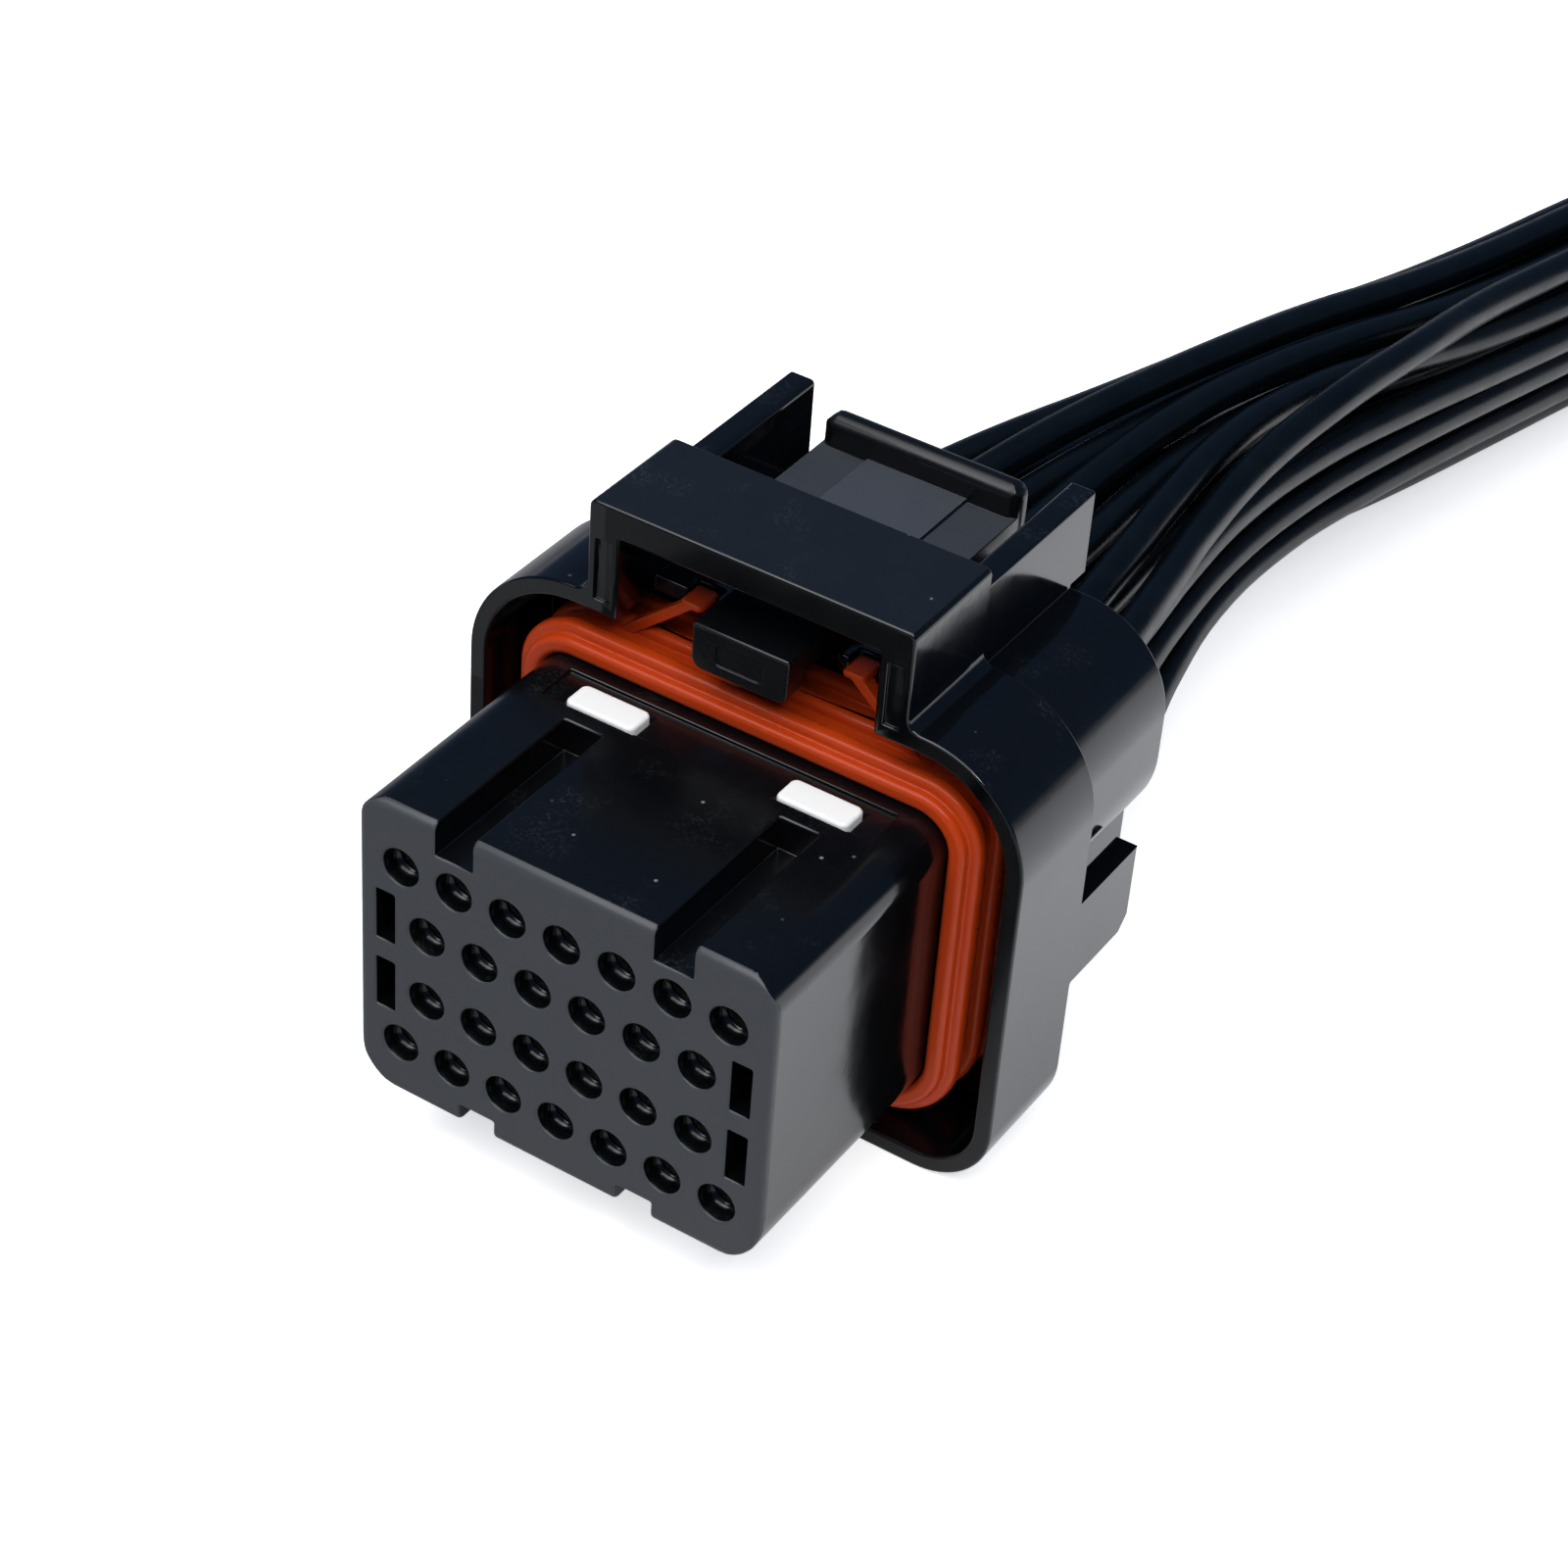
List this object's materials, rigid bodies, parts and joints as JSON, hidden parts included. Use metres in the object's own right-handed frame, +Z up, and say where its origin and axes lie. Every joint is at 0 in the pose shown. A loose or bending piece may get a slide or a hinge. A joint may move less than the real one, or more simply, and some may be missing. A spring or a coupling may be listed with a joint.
{
  "type": "sealed rectangular wire-to-header plug",
  "caption": "Black sealed rectangular plug for an engine control unit: nose with rows of pin holes, orange ring seal in a shroud, white lock tabs, rocking latch lever and bundled wire leads.",
  "frame": {"origin": "on the resting surface under the shroud, halfway along the plug without its wires", "axes": "-Y out of the mating face, +Y along the wires, +Z up to the latch, +X to the right seen from the front"},
  "size_m": [0.0351, 0.1762, 0.0305],
  "materials": {
    "black_pbt": "moulded, satin gloss",
    "orange_silicone": "satin silicone rubber",
    "white_pbt": "moulded, plain",
    "tin_plated_copper": "tin-plated copper alloy sheet",
    "black_wire_jacket": "smooth satin insulation"
  },
  "bodies": {
    "plug": {"housing": "black_pbt", "contact_block": "black_pbt", "rear_cover": "black_pbt", "interface_seal": "orange_silicone", "wire_seal": "orange_silicone", "terminal_01": "tin_plated_copper", "terminal_02": "tin_plated_copper", "terminal_03": "tin_plated_copper", "terminal_04": "tin_plated_copper", "terminal_05": "tin_plated_copper", "terminal_06": "tin_plated_copper", "terminal_07": "tin_plated_copper", "terminal_08": "tin_plated_copper", "terminal_09": "tin_plated_copper", "terminal_10": "tin_plated_copper", "terminal_11": "tin_plated_copper", "terminal_12": "tin_plated_copper", "terminal_13": "tin_plated_copper", "terminal_14": "tin_plated_copper", "terminal_15": "tin_plated_copper", "terminal_16": "tin_plated_copper", "terminal_17": "tin_plated_copper", "terminal_18": "tin_plated_copper", "terminal_19": "tin_plated_copper", "terminal_20": "tin_plated_copper", "terminal_21": "tin_plated_copper", "terminal_22": "tin_plated_copper", "terminal_23": "tin_plated_copper", "terminal_24": "tin_plated_copper", "terminal_25": "tin_plated_copper", "terminal_26": "tin_plated_copper", "wire_01": "black_wire_jacket", "wire_02": "black_wire_jacket", "wire_03": "black_wire_jacket", "wire_04": "black_wire_jacket", "wire_05": "black_wire_jacket", "wire_06": "black_wire_jacket", "wire_07": "black_wire_jacket", "wire_08": "black_wire_jacket", "wire_09": "black_wire_jacket", "wire_10": "black_wire_jacket", "wire_11": "black_wire_jacket", "wire_12": "black_wire_jacket", "wire_13": "black_wire_jacket", "wire_14": "black_wire_jacket", "wire_15": "black_wire_jacket", "wire_16": "black_wire_jacket", "wire_17": "black_wire_jacket", "wire_18": "black_wire_jacket", "wire_19": "black_wire_jacket", "wire_20": "black_wire_jacket", "wire_21": "black_wire_jacket", "wire_22": "black_wire_jacket", "wire_23": "black_wire_jacket", "wire_24": "black_wire_jacket", "wire_25": "black_wire_jacket", "wire_26": "black_wire_jacket"},
    "lock": {"lock_plate": "white_pbt"},
    "lever": {"latch_lever": "black_pbt"}
  },
  "joints": [
    {"name": "lever_hinge", "type": "hinge", "parent": "plug", "child": "lever", "pos_m": [0, 0.00695, 0.0261], "axis": [-1, 0, 0], "range_deg": [0, 8], "stiffness_Nm_per_rad": 0.05},
    {"name": "lock_slide", "type": "slide", "parent": "plug", "child": "lock", "axis": [0, 0, -1], "range_m": [0, 0.001]}
  ]
}
